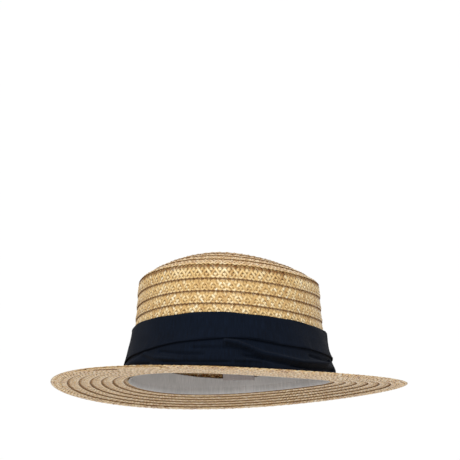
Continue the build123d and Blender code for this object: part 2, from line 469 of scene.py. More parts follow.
def build_piece(
    name: str,
    points: ndarray,
    faces: ndarray,
    finish: Material,
    layer: str,
    uv: ndarray,
    numbers: dict[str, ndarray] | None = None,
) -> Object:
    """Make one smooth mesh of four-sided faces.

    Args:
        name: the piece's name.
        points: its vertices, in metres.
        faces: four vertex numbers a face.
        finish: its material.
        layer: name of the UV layer.
        uv: UV of each face corner.
        numbers: a number per vertex, by attribute name.

    Returns:
        The object.
    """
    mesh = bpy.data.meshes.new(name)
    mesh.vertices.add(len(points))
    mesh.vertices.foreach_set("co", np.ascontiguousarray(points, np.float32).ravel())
    mesh.loops.add(faces.size)
    mesh.loops.foreach_set("vertex_index", np.ascontiguousarray(faces, np.int32).ravel())
    mesh.polygons.add(len(faces))
    mesh.polygons.foreach_set("loop_start", np.arange(0, faces.size, 4, dtype=np.int32))
    mesh.polygons.foreach_set("loop_total", np.full(len(faces), 4, np.int32))
    mesh.polygons.foreach_set("use_smooth", np.ones(len(faces), bool))
    mesh.update(calc_edges=True)
    mesh.uv_layers.new(name=layer)
    mesh.uv_layers[layer].data.foreach_set("uv", np.ascontiguousarray(uv, np.float32).ravel())
    for key, values in (numbers or {}).items():
        mesh.attributes.new(key, "FLOAT", "POINT")
        mesh.attributes[key].data.foreach_set("value", np.ascontiguousarray(values, np.float32).ravel())
    mesh.materials.append(finish)
    piece = bpy.data.objects.new(name, mesh)
    bpy.context.scene.collection.objects.link(piece)
    return piece


def grid_faces(rows: int, columns: int, closed_rows: bool, closed_columns: bool) -> ndarray:
    """Faces of a grid of vertices, numbered row by row; either way may close on itself."""
    r = np.arange(rows if closed_rows else rows - 1)[:, None]
    c = np.arange(columns if closed_columns else columns - 1)[None, :]
    r1, c1 = (r + 1) % rows, (c + 1) % columns
    corners = [r * columns + c, r1 * columns + c, r1 * columns + c1, r * columns + c1]
    return np.stack(corners, -1).reshape(-1, 4)


def stand_in(piece: Object, node: str, body: str) -> None:
    """Put a piece in place of its node, on its body."""
    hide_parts(node)
    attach(piece, body)


@dataclass
class PieceStock:
    """Gathers parts of one mesh."""

    points: list = field(default_factory=list)
    faces: list = field(default_factory=list)
    uv: list = field(default_factory=list)
    # the lap number of each vertex is painted shade
    numbers: dict = field(default_factory=lambda: {"tone": [], "lap": []})
    count: int = 0

    def add(self, points: ndarray, faces: ndarray, uv: ndarray, tone: ndarray, lap: ndarray) -> None:
        """Add vertices and faces.

        Args:
            points: vertices.
            faces: vertex numbers within them.
            uv: UV of each face corner.
            tone: colour tone of each vertex.
            lap: painted shade of each vertex.
        """
        points = points.reshape(-1, 3)
        uv = uv.reshape(-1, 4, 2)
        a, b, c, d = (points[faces[:, i]] for i in range(4))
        if (np.cross(c - a, d - b) * (a + b + c + d)).sum() < 0:
            faces, uv = faces[:, ::-1], uv[:, ::-1]
        self.points.append(points)
        self.faces.append(faces + self.count)
        self.uv.append(uv.reshape(-1, 2))
        for key, value in (("tone", tone), ("lap", lap)):
            each = np.ravel(value)
            self.numbers[key].append(np.broadcast_to(each, len(points)))
        self.count += len(points)

    def build(self, name: str, finish: Material) -> Object:
        """Make the piece."""
        numbers = {key: np.concatenate(values) for key, values in self.numbers.items()}
        stacked = [np.concatenate(a) for a in (self.points, self.faces, self.uv)]
        return build_piece(name, stacked[0], stacked[1], finish, "straw", stacked[2], numbers)


# ---------------------------------------------------------------- straw


@dataclass
class Plait:
    """Flat plait of five straws, in millimetres. Each straw runs slantwise from edge to edge and back."""

    form: HatForm
    ends: int = 5
    step: float = 3.7
    straw_width: float = 3.15
    straw_thickness: float = 0.5
    weave: float = 0.27
    edge_round: float = 0.975
    edge_margin: float = 0.34
    rim_boldness: float = 1.5
    rim_darkening: float = 0.14
    rim_reach: float = 1.06
    mid_tone: float = 0.45
    shade_reach: tuple = ((1.05, 0.3), (2.1, 0.35))
    samples: int = 30
    core_tone: float = 0.3
    edge_ease: float = 1.6
    width_spread: float = 0.1
    height_spread: float = 0.05
    tone_spread: tuple = (2.1, 2.0)
    straw_stock: float = 400.0
    tail_tone: float = 0.8
    stub_depth: float = 1.55
    # corners of a straw's section that take painted shade on the outside and on the inside
    outer_corners: tuple = (0.3, 1.0, 0.3, 0.0)
    inner_corners: tuple = (0.3, 0.0, 0.3, 1.0)

    def __post_init__(self) -> None:
        """Work out the run from edge to edge, and how far a straw goes along meanwhile."""
        self.margin = self.straw_width * self.edge_margin
        self.run = self.step * self.ends / 2
        self.steepness = (self.form.braid_width - 2 * self.margin) / self.run

    def straws(self, count: int, random: np.random.Generator) -> dict[str, ndarray]:
        """Straws of a stretch of plait, laid flat.

        Args:
            count: steps of the plait, an even number where it closes on itself.
            random: the random numbers for tones.

        Returns:
            u along the plait, v across it, h out of it, tone and straw UV, by straw, sample and corner.
        """
        p = np.arange(self.samples) * 2 * self.run / self.samples
        theta = math.pi * (p / self.run - 0.5)
        sharp = math.asin(self.edge_round)
        v = self.run * (0.5 + np.arcsin(self.edge_round * np.sin(theta)) / (2 * sharp))
        slope = np.gradient(np.concatenate([v[-1:], v, v[:1]]), p[1])[1:-1]
        slope *= self.steepness
        k = np.arange(count)[:, None]
        sign = 1 - 2 * (k % 2)
        rising = p < self.run
        up = sign * np.cos(math.pi * (p + v) / self.step)
        down = sign * np.cos(math.pi * (p - v) / self.step)
        edge = np.clip(np.minimum(v, self.run - v) / self.edge_ease, 0, 1)
        h = self.weave * np.where(rising, up, down) * edge * edge * (3 - 2 * edge)
        length = np.hypot(1, slope)
        across = np.array([-0.5, 0.0, 0.5, 0.0]) * self.straw_width
        crown = np.array([-0.12, 0.5, -0.12, -0.5]) * self.straw_thickness
        wide = 1 + self.width_spread * (random.random((count, 1, 1)) - 0.5)
        u = (k * self.step + p)[:, :, None] - (slope / length)[None, :, None] * across * wide
        vv = np.broadcast_to(v[:, None] * self.steepness + (1 / length)[:, None] * across, u.shape)
        hh = h[:, :, None] + crown + self.height_spread * (random.random((count, 1, 1)) - 0.5)
        tones = random.beta(*self.tone_spread, (count, 2))
        tone = np.where(rising[None, :], tones[:, :1], tones[:, 1:])[:, :, None] * np.ones(4)
        return {"u": u, "v": vv, "h": hh, "tone": tone, "p": p, "across": across}

    def ring_faces(self, count: int) -> ndarray:
        """Faces of a closed turn, where the end of a straw joins the start of a further one."""
        i, k = np.arange(self.samples), np.arange(count)[:, None]
        start = (k * self.samples + i) * 4
        joined = (k + (i == self.samples - 1) * self.ends) % count
        following = (joined * self.samples + (i + 1) % self.samples) * 4
        corner = np.arange(4)
        turn = (corner + 1) % 4
        return np.stack([
            start[..., None] + corner, start[..., None] + turn,
            following[..., None] + turn, following[..., None] + corner,
        ], -1).reshape(-1, 4)

    def ring_uv(self, straws: dict[str, ndarray], count: int, random: np.random.Generator) -> ndarray:
        """UV of those faces, with each straw cut from another stretch of the stock."""
        shift = random.random((count, 1, 1)) * self.straw_stock
        here = (straws["p"][None, :, None] + shift) * np.ones(4)
        then = here + straws["p"][1]
        side = np.broadcast_to(straws["across"], here.shape)
        side_next = np.broadcast_to(np.roll(straws["across"], -1), here.shape)
        return np.stack([
            np.stack([here, side], -1), np.stack([here, side_next], -1),
            np.stack([then, side_next], -1), np.stack([then, side], -1),
        ], 3)

    def lap_shade(self, v_mm: ndarray, width: float, lap: float, last: bool) -> ndarray:
        """Painted shade of a turn beside its laps.

        Args:
            v_mm: distances from its inner edge.
            width: its width.
            lap: how far the turns lap.
            last: no turn follows it.

        Returns:
            The painted shade: outside, where the turn over it shades it, and inside, where the next turn
                shades it.
        """
        (near, near_fade), (far, far_fade) = self.shade_reach
        under_lap = np.array(self.outer_corners) / (1 + np.exp((v_mm - lap - near) / near_fade))
        over_lap = np.array(self.inner_corners) / (1 + np.exp((width - lap - far - v_mm) / far_fade))
        return under_lap + over_lap * (not last)

    def weave_row(
        self, edge_at: float, inner_at: float, lap: float, seed: int, last: bool, painted_inner_shade: float
    ) -> PieceStock:
        """One closed turn of plait.

        Args:
            edge_at: length along the outline of its lapping edge.
            inner_at: the same for its other edge.
            lap: how far the turns lap.
            seed: for its random numbers.
            last: no turn follows it.
            painted_inner_shade: how much painted shade darkens its inner side.

        Returns:
            The turn's mesh.
        """
        form = self.form
        random = np.random.default_rng(seed)
        width = edge_at - inner_at
        angles, lengths = form.round_trip((edge_at + inner_at) / 2, form.straw_middle(0.5))
        count = max(2 * round(lengths[-1] / self.step / 2), 6)
        straws = self.straws(count, random)
        share = (straws["u"] / (count * self.step) + random.random()) % 1.0
        angle = np.interp(share * lengths[-1], lengths, angles)
        across = (straws["v"] + self.margin) / form.braid_width
        across = np.clip(across, 0, self.rim_reach if last else 1)
        bold = self.rim_boldness if last else 1.0
        # the last turn's tones spread wider and drop, so the rim turn is darker
        tone = self.mid_tone + (straws["tone"] - self.mid_tone) * bold - (self.rim_darkening if last else 0)
        points = form.place(inner_at + across * width, form.straw_middle(across) + straws["h"] * bold, angle)
        stock = PieceStock()
        # painted shade beside the laps, and on the inner side of crown and tip turns
        shade = self.lap_shade(across * width, width, lap, last)
        shade = np.clip(shade + painted_inner_shade * np.array(self.inner_corners), 0, 1)
        stock.add(points, self.ring_faces(count), self.ring_uv(straws, count, random), tone, shade)
        self.add_core(stock, inner_at, width, (0.0 if lap == 0 else lap / width, last), angles)
        return stock

    def add_core(
        self, stock: PieceStock, inner_at: float, width: float, laps: tuple, angles: ndarray
    ) -> None:
        """Inner straw that closes the holes of the weave, and the gap where two turns lap, where painted
        shade darkens it.

        Args:
            stock: the turn's mesh.
            inner_at: length along the outline of the turn's inner edge.
            width: the turn's width.
            laps: share of the width that the turn before covers, and whether no turn follows.
            angles: once round the hat.
        """
        form = self.form
        lap, last = laps
        angle = angles[:-1:2][:, None]
        thin, thick = 0.1, 0.5
        top = thick if lap else thin
        bottom = thin if last else thick
        lap = max(lap, 0.2)
        across = np.array([0.04, lap - 0.06, lap - 0.02, 0.92, 0.96, 1.06 - lap, 1.02 - lap, 0.08])
        out = np.array([top, top, thin, thin, -bottom, -bottom, -thin, -thin])
        points = form.place(inner_at + across * width, form.straw_middle(across) + out, angle)
        faces = grid_faces(len(angle), len(across), True, True)
        # painted shade: the thick parts, which fill the gap between lapping turns, are darkened heavily; the
        # thin parts a little
        shade = np.where(np.abs(out) > thin, 0.9, 0.1) * np.ones((len(angle), 1))
        stock.add(points, faces, np.zeros((len(faces), 4, 2)), self.core_tone, shade)

    def weave_tail(self, start: float, end: float, widths: tuple[float, float], seed: int) -> PieceStock:
        """Tapered end of the braid, under the rim.

        Args:
            start: angle where it leaves the last turn, in degrees from the front.
            end: angle of its cut end.
            widths: its width at both.
            seed: for its random numbers.

        Returns:
            The tail's mesh.
        """
        form = self.form
        random = np.random.default_rng(seed)
        rim = form.length[-1] - form.braid_width
        length = math.radians(abs(end - start)) * (form.rim_half_width + form.oval_extra)
        count = int(length / self.step) - self.ends
        straws = self.straws(count, random)
        part = np.clip(straws["u"] / length, 0, 1)
        angle = np.radians(start + (end - start) * part)
        width = widths[0] + (widths[1] - widths[0]) * part
        across = (straws["v"] + self.margin) / form.braid_width
        under = form.straw_middle(1 - (1 - across) * width / form.braid_width) - form.turn_thickness
        offset = under + straws["h"]
        points = form.place(rim - (1 - across) * width, offset, angle)
        caps = [[0, 1, 2, 3], [4 * self.samples - 1 - i for i in range(4)]]
        tubes = np.concatenate([grid_faces(self.samples, 4, False, True), caps])
        here = np.stack([
            np.broadcast_to(straws["p"][:, None], (self.samples, 4)),
            np.broadcast_to(straws["across"], (self.samples, 4)),
        ], -1).reshape(-1, 2)
        stock = PieceStock()
        for k in range(count):
            tone = straws["tone"][k] * self.tail_tone
            stock.add(points[k], tubes, here[tubes] + (random.random() * self.straw_stock, 0), tone, 0.0)
        self.add_stub(stock, (end + 5, end - 1.5), (2.2, 1.2), (2.6, 1.0), (0.32, 0.12))
        # painted shadow: a dark stub, tone 0 with heavy painted shade, stands for the shadow under the tail's
        # lifted inner edge
        self.add_stub(stock, (start - 18.5, start - 27), (6.6, 3.4), (1.5, 0.9), (0.0, 0.75))
        return stock

    def add_stub(self, stock: PieceStock, turn: tuple, inward: tuple, size: tuple, look: tuple) -> None:
        """Loose straw end under the rim, or a dark stub standing for a painted shadow there.

        Args:
            stock: the tail's mesh.
            turn: angles of its two ends, in degrees from the front.
            inward: how far its ends are from the rim.
            size: its width and thickness.
            look: its tone and painted shade.
        """
        form = self.form
        rings, sides = 14, 8
        part = np.linspace(0, 1, rings)[:, None]
        round_it = np.linspace(0, 2 * math.pi, sides, endpoint=False)
        thin = np.sin(math.pi * (0.06 + 0.88 * part)) ** 0.3
        away = inward[0] + (inward[1] - inward[0]) * part + np.cos(round_it) * size[0] / 2 * thin
        under = form.straw_middle(1 - away / form.braid_width) - self.stub_depth * form.turn_thickness
        offset = under + np.sin(round_it) * size[1] / 2 * thin
        angle = np.radians(turn[0] + (turn[1] - turn[0]) * part)
        rim = form.length[-1] - form.braid_width
        points = form.place(rim - away, offset, angle)
        last = sides * (rings - 1)
        caps = [[0, 1, 2, 3], [0, 3, 4, 7], [4, 5, 6, 7]]
        caps += [[last + i for i in cap[::-1]] for cap in caps]
        faces = np.concatenate([grid_faces(rings, sides, False, True), caps])
        places = np.stack(np.broadcast_arrays(part * 20, round_it * 0.3), -1).reshape(-1, 2)
        stock.add(points, faces, places[faces], look[0], look[1])


@dataclass
class StrawShell:
    """All turns of braid, from the middle of the tip to the rim."""

    form: HatForm
    straw: Material
    tail_angles: tuple = (-14.0, -48.0)
    tail_end_width: float = 3.0
    # painted shade on the inner side of crown and tip turns, where the interior lies in shade
    painted_inner_shade: float = 0.6

    def build(self) -> list[Object]:
        """Weave every turn.

        Returns:
            The pieces, each on its body and in place of its node.
        """
        plait = Plait(self.form)
        button_seed, turn_seed, tail_seed = 5, 100, 7
        made = []
        pitch = self.form.pitch["tip"]
        button = plait.weave_row(pitch, 0.3, 0.0, button_seed, False, self.painted_inner_shade)
        for points in button.points:
            points[:, 2] += self.form.turn_thickness * MM
        made.append(self.dress(button, "tip_middle", "tip_button"))
        for zone, count in self.form.rows:
            pitch = self.form.pitch[zone]
            lap = self.form.braid_width - pitch
            for i in range(count):
                edge_at = self.form.edge_start[zone] + pitch * (i + 1)
                seed = turn_seed + len(made)
                last = zone == "brim" and i == count - 1
                painted_inner_shade = 0.0 if zone == "brim" else self.painted_inner_shade
                row = plait.weave_row(edge_at, edge_at - self.form.braid_width, lap, seed, last, painted_inner_shade)
                made.append(self.dress(row, f"{zone}_turn_{i + 1}", f"{zone}_row_{i + 1}"))
        widths = (self.form.pitch["brim"], self.tail_end_width)
        tail = plait.weave_tail(*self.tail_angles, widths, tail_seed)
        made.append(self.dress(tail, "braid_end", "braid_tail"))
        return made

    def dress(self, stock: PieceStock, name: str, node: str) -> Object:
        """Make a turn, and put it in place of its node."""
        piece = stock.build(name, self.straw)
        stand_in(piece, node, "hat")
        return piece


@dataclass
class Stitches:
    """Stitches as short bent tubes, in millimetres."""

    form: HatForm
    radius: float = 0.15
    sides: int = 6
    samples: int = 6
    seam_margin: float = 2.2
    seam_pitch: float = 6.4
    seam_stitch: float = 3.2

    def tubes(self, middles: ndarray, outs: ndarray) -> tuple[ndarray, ndarray, ndarray]:
        """Tubes along lines of points.

        Args:
            middles: points by stitch and sample, in metres.
            outs: the direction out of the surface, by stitch.

        Returns:
            Points, faces and UV.
        """
        along = np.gradient(middles, axis=1)
        along /= np.linalg.norm(along, axis=2, keepdims=True)
        side = np.cross(along, outs[:, None, :])
        side /= np.linalg.norm(side, axis=2, keepdims=True)
        out = np.cross(side, along)
        turn = 2 * math.pi * np.arange(self.sides) / self.sides
        taper = np.sin(np.linspace(0.25, math.pi - 0.25, middles.shape[1])) ** 0.4 * self.radius * MM
        ring = side[:, :, None] * np.cos(turn)[:, None] + out[:, :, None] * np.sin(turn)[:, None]
        points = middles[:, :, None] + ring * taper[None, :, None, None]
        one = grid_faces(middles.shape[1], self.sides, False, True)
        first = np.arange(len(middles))[:, None, None] * middles.shape[1] * self.sides
        faces = (one[None] + first).reshape(-1, 4)
        far = np.linspace(0, self.seam_stitch, middles.shape[1])[:, None] * np.ones(self.sides)
        places = np.stack([far, np.broadcast_to(turn / (2 * math.pi), far.shape)], -1).reshape(-1, 2)
        uv = np.broadcast_to(places[one], (len(middles), *places[one].shape))
        return points.reshape(-1, 3), faces, uv.reshape(-1, 2)

    def on_surface(self, along: float, offset: float, angles: ndarray, span: float, dip: float) -> tuple:
        """Stitches that follow the surface and dip into it at their ends; span is half a stitch's angle."""
        part = np.linspace(-1, 1, self.samples)
        angle = angles[:, None] + part * span
        middles = self.form.place(along, offset - dip * part**4, angle)
        outs = self.form.place(along, offset + 1, angles) - self.form.place(along, offset, angles)
        return self.tubes(middles, outs)

    def seam(self, edge_at: float) -> tuple:
        """One seam's stitches."""
        form = self.form
        along = edge_at - self.seam_margin
        offset = form.straw_middle(1 - self.seam_margin / form.braid_width) + 0.5
        angles, lengths = form.round_trip(along, offset)
        count = round(lengths[-1] / self.seam_pitch)
        middles = np.interp((np.arange(count) + 0.5) / count * lengths[-1], lengths, angles)
        span = self.seam_stitch / lengths[-1] * math.pi
        return self.on_surface(along, offset, middles, span, 0.5)

    def build(self, name: str, node: str, body: str, finish: Material, slot: str, parts: list) -> None:
        """Make one group of stitches from their points, faces and UV."""
        stock = PieceStock()
        for points, faces, uv in parts:
            stock.add(points, faces, uv, 0.5, 0.0)
        piece = stock.build(name, finish)
        stand_in(piece, node, body)
        log.info("%s: %d vertices", name, stock.count)


# ---------------------------------------------------------------- cloth


def build_round_sheet(name: str, form: HatForm, points: ndarray, up: ndarray, cloth: Material) -> Object:
    """Make a sheet that closes on itself round the hat; up is the way up the cloth, in millimetres."""
    columns, samples = up.shape
    faces = grid_faces(columns, samples, True, False)
    turn = (2 * math.pi * np.arange(columns) / columns)[:, None]
    across = np.broadcast_to(turn / (2 * math.pi) * form.head_round, up.shape)
    uv = np.stack([across, up], -1).reshape(-1, 2)[faces]
    uv[faces[:, 0] >= (columns - 1) * samples, 1:3, 0] = form.head_round
    return build_piece(name, points.reshape(-1, 3), faces, cloth, "cloth", uv)


def dress_cloth(piece: Object, thickness: float, node: str, body: str) -> None:
    """Give a sheet its thickness, in millimetres, and put it in place of its node."""
    solid = piece.modifiers.new("cloth", "SOLIDIFY")
    solid.thickness = thickness * MM
    solid.offset = 0.0
    stand_in(piece, node, body)


@dataclass(frozen=True)
class Crease:
    """Ridge or furrow along a line of (degrees from the front, height in mm)."""

    line: tuple
    height: float
    width: float
    stepped: bool = False

    def raised(self, turn: ndarray, height: ndarray, radius: float) -> ndarray:
        """How far it raises the cloth.

        Args:
            turn: degrees from the front.
            height: millimetres above the brim.
            radius: millimetres from the axis, which makes lengths of angles.

        Returns:
            The rise, in millimetres.
        """
        nearest = np.full(np.broadcast(turn, height).shape, 1e9)
        side = np.zeros_like(nearest)
        scale = math.radians(1) * radius
        for (t0, z0), (t1, z1) in zip(self.line, self.line[1:]):
            dx, dz = (t1 - t0) * scale, z1 - z0
            px, pz = (turn - t0) * scale, height - z0
            part = np.clip((px * dx + pz * dz) / (dx * dx + dz * dz), 0, 1)
            away = np.hypot(px - part * dx, pz - part * dz)
            near = away < nearest
            nearest = np.where(near, away, nearest)
            side = np.where(near, (dx * pz - dz * px) / math.hypot(dx, dz), side)
        if not self.stepped:
            return self.height * np.exp(-((nearest / self.width) ** 2))
        return self.height * np.exp(-((nearest / 7) ** 2)) / (1 + np.exp(-side / self.width))


@dataclass
class HatBand:
    """Navy cloth strip, folded along its length so that an upper fold hangs over a lower one."""

    form: HatForm
    seat: float
    cloth: Material
    top: float = 46.6
    fold_heights: tuple = (19.0, 5.0, 3.6, 2.0)
    lower_full: float = 11.0
    foot: float = 5.5
    columns: int = 440
    thickness: float = 0.45
    crease_scale: float = 2.1
    lower_from: float = 0.56
    upper_samples: tuple = (9, 52)
    back_creases: int = 26
    ripples: int = 9
    gathers: int = 40
    seed: int = 11
    tacks: int = 6
    tack_reach: tuple = (-1.4, 1.6)
    creases: tuple = (
        Crease(((4, 24.5), (10, 23.5), (23, 16.8), (46, 12.4), (69, 13.9)), 1.9, 1.8),
        Crease(((14, 14.5), (30, 10.8), (52, 8.2), (82, 10)), -1.8, 1.4),
        Crease(((-14, 19), (10, 19.5), (17, 17.7)), -1.0, 1.3),
        Crease(((9, 10.5), (25, 11.3), (39, 9.5)), 0.8, 1.2),
        Crease(((-49, 16), (-63, 9.6)), 1.1, 0.3, True),
        Crease(((-46, 17), (-36, 12), (-20, 9)), 0.9, 1.6),
        Crease(((-34, 17), (-22, 14.5), (-8, 14)), -0.9, 1.4),
        Crease(((-30, 8.5), (-10, 7.8), (6, 8.8)), -0.7, 1.2),
        Crease(((55, 19), (66, 17.5), (80, 18)), -1.0, 1.4),
        Crease(((-62, 7.2), (-50, 8.4), (-40, 8)), -0.7, 1.0),
    )

    def fold_line(self, angle: ndarray) -> ndarray:
        """Height of the upper fold's lower edge."""
        middle, front, right, ends = self.fold_heights
        line = middle + front * np.cos(angle) + right * np.sin(angle) + ends * np.cos(2 * angle)
        return line + 0.5 * np.sin(5 * angle + 1.1) + 0.35 * np.sin(9 * angle - 0.4)

    def section(self, angle: ndarray) -> tuple[ndarray, ndarray]:
        """The folded strip's section.

        Args:
            angle: angles from the front, as a column.

        Returns:
            Heights above the brim and distances from the straw's inner surface, by angle and sample.
        """
        fold = self.fold_line(angle)
        top = self.top + 0.45 * np.sin(3 * angle + 0.6) + 0.3 * np.sin(7 * angle + 2.0)
        top = top + 0.15 * np.sin(17 * angle)
        foot = self.foot + 0.4 * np.sin(4 * angle + 1.9)
        seat = self.seat
        corners = [
            (top - 7, seat + 0.35, 4), (top - 1.0, seat + 0.3, 3),
            (top, seat + 0.8, 3), (top - 1.0, seat + 1.3, 3),
            (top * 0.67 + fold * 0.33, seat + 1.6, 12), (top * 0.33 + fold * 0.67, seat + 2.4, 16),
            (fold + 1.0, seat + 3.6, 14), (fold, seat + 3.2, 4), (fold + 1.0, seat + 2.75, 4),
            (fold + 8, seat + 1.35, 5), (fold + 8.8, seat + 1.05, 2), (fold + 8, seat + 0.75, 2),
            (fold + 1.0, seat + 1.3, 5), (fold - 3.5, seat + 2.3, 7), (self.lower_full, seat + 3.9, 9),
            (foot + 1.6, seat + 3.6, 9), (foot, seat + 2.4, 5),
            (foot + 0.8, seat + 0.9, 4), (foot + 5, seat + 0.5, 4),
        ]
        heights, offsets = [], []
        for (h0, o0, _), (h1, o1, count) in zip(corners, corners[1:]):
            part = np.arange(count) / count
            heights.append(h0 + (h1 - h0) * part)
            offsets.append(np.broadcast_to(o0 + (o1 - o0) * part, heights[-1].shape))
        height, offset = np.concatenate(heights, 1), np.concatenate(offsets, 1)
        for _ in range(3):
            for line in (height, offset):
                line[:, 1:-1] = (line[:, :-2] + 2 * line[:, 1:-1] + line[:, 2:]) / 4
        return height, offset

    def wrinkled(self, angle: ndarray, height: ndarray, offset: ndarray) -> ndarray:
        """Distances with the cloth's creases.

        Args:
            angle: angles from the front, as a column.
            height: heights above the brim.
            offset: plain distances.

        Returns:
            New distances.
        """
        turn = (np.degrees(angle) + 180) % 360 - 180
        sample = np.arange(height.shape[1])
        lower = sample > sample[-1] * self.lower_from
        upper = (sample > self.upper_samples[0]) & (sample < self.upper_samples[1])
        random = np.random.default_rng(self.seed)
        ease = np.clip((height - self.foot - 0.5) / 2.5, 0, 1)
        offset = offset + np.where(lower, self.creased(turn, height, random) * ease, 0)
        offset = offset + np.where(upper, self.gathered(angle, height, random), 0)
        return np.maximum(offset, self.seat + 0.3)

    def creased(self, turn: ndarray, height: ndarray, random: np.random.Generator) -> ndarray:
        """Rise of the lower fold: the creases in front, and others of their kind round the back."""
        radius = self.form.head_half_width + 10
        rise = self.crease_scale * sum(crease.raised(turn, height, radius) for crease in self.creases)
        for _ in range(self.back_creases):
            start = random.uniform(85, 275)
            low = random.uniform(7, 15)
            span = random.uniform(10, 34)
            drift = random.uniform(-5, 5)
            wave = Crease(((start, low), (start + span, low + drift)), random.choice((-1, 1)) * 0.8, 1.4)
            rise = rise + wave.raised(turn % 360, height, radius)
        return rise

    def gathered(self, angle: ndarray, height: ndarray, random: np.random.Generator) -> ndarray:
        """Rise of the upper fold: gentle ripples, and gathers that fade away from the fold line."""
        gentle = np.zeros_like(height)
        for _ in range(self.ripples):
            k, lean, start = random.integers(2, 16), random.uniform(-0.25, 0.25), random.uniform(0, 6.3)
            gentle = gentle + 0.16 * np.sin(k * angle + lean * height + start)
        turn = (np.degrees(angle) + 180) % 360 - 180
        gathers = np.zeros_like(height)
        for _ in range(self.gathers):
            at, wide = random.uniform(0, 360), random.uniform(0.8, 2.6)
            bend = random.uniform(-0.35, 0.35)
            gap = (turn - at - bend * (height - 25) + 180) % 360 - 180
            gathers = gathers + random.uniform(-0.5, 0.5) * np.exp(-((gap / wide) ** 2))
        near_fold = np.exp(-((height - self.fold_line(angle)) / 9) ** 2)
        return gentle + gathers * near_fold * 0.8

    def build(self) -> Object:
        """Make the strip.

        Returns:
            The object.
        """
        angle = (2 * math.pi * np.arange(self.columns) / self.columns)[:, None]
        height, plain = self.section(angle)
        offset = self.wrinkled(angle, height, plain)
        along = self.form.along_at_height(height)
        points = self.form.place(along, offset, angle)
        run = np.linalg.norm(np.diff(points, axis=1), axis=2) / MM
        up = np.concatenate([np.zeros((self.columns, 1)), np.cumsum(run, 1)], 1)
        piece = build_round_sheet("folded_hatband", self.form, points, up, self.cloth)
        dress_cloth(piece, self.thickness, "hatband", "hat")
        return piece

    def stitches(self, maker: Stitches) -> list:
        """Tacks over the strip's top edge, round the back."""
        angles = math.pi * (0.5 + (np.arange(self.tacks) + 0.5) / self.tacks)
        middles = self.form.place(
            self.form.along_at_height(self.top - np.linspace(*self.tack_reach, maker.samples)),
            self.seat + 1.75 + np.linspace(-1, 1, maker.samples) ** 4 * -0.5,
            angles[:, None],
        )
        top_at = self.form.along_at_height(self.top)
        wall, out = (self.form.place(top_at, self.seat + away, angles) for away in (0, 1))
        return [maker.tubes(middles, out - wall)]


@dataclass
class SweatBand:
    """Cloth tape sewn round the inside of the head opening."""

    form: HatForm
    cloth: Material
    foot: float = 2.0
    thickness: float = 0.5
    clearance: float = 0.35
    seam: float = 7.0
    top_line: tuple = (
        (0, 16.0), (140, 16.0), (158, 17.0), (164, 16.0), (170, 15.0), (180, 14.4), (189, 15.0),
        (197, 15.9), (206, 17.0), (213, 18.2), (222, 19.6), (236, 20.5), (252, 20.0), (280, 17.5),
        (310, 16.0), (360, 16.0),
    )
    stitch_count: int = 60
    stitch_length: float = 4.5
    columns: int = 480
    smoothing: int = 40
    samples: int = 22

    def build(self) -> Object:
        """Make the tape.

        Returns:
            The object.
        """
        angle = (2 * math.pi * np.arange(self.columns) / self.columns)[:, None]
        part = np.linspace(0, 1, self.samples)
        turns, heights = np.transpose(self.top_line)
        top = np.interp(np.degrees(angle[:, 0]), turns, heights)
        for _ in range(self.smoothing):
            top = (np.roll(top, 1) + 2 * top + np.roll(top, -1)) / 4
        top = top[:, None] + 0.12 * np.sin(6 * angle) + 0.06 * np.sin(13 * angle + 1)
        height = self.foot + (top - self.foot) * part
        stitch = np.cos(self.stitch_count * angle) * 0.12
        pulled = np.exp(-(((height - self.seam) / 1.2) ** 2))
        offset = -(self.clearance + self.thickness / 2) + pulled * (0.1 + stitch)
        offset = offset - 0.25 * part**3 * (1 + np.sin(11 * angle + 0.7)) / 2
        join = np.exp(-(((angle - math.pi - 0.02) / 0.012) ** 2))
        offset = offset - 0.25 * join
        points = self.form.place(self.form.along_at_height(height), offset, angle)
        piece = build_round_sheet("sweatband_tape", self.form, points, height, self.cloth)
        dress_cloth(piece, self.thickness, "sweatband", "hat")
        flat = (float((top - self.foot).mean()) * MM, self.form.head_round * MM)
        log.info("sweatband, flat: %.4f by %.4f m", *flat)
        return piece

    def stitches(self, maker: Stitches) -> list:
        """Running stitches through the tape and the straw."""
        angles = 2 * math.pi * (np.arange(self.stitch_count) + 0.5) / self.stitch_count
        span = self.stitch_length / 2 / (self.form.head_half_width + self.form.oval_extra / 2)
        inside = -(self.clearance + self.thickness) - 0.05
        return [maker.on_surface(self.form.along_at_height(self.seam), inside, angles, span, -0.35)]


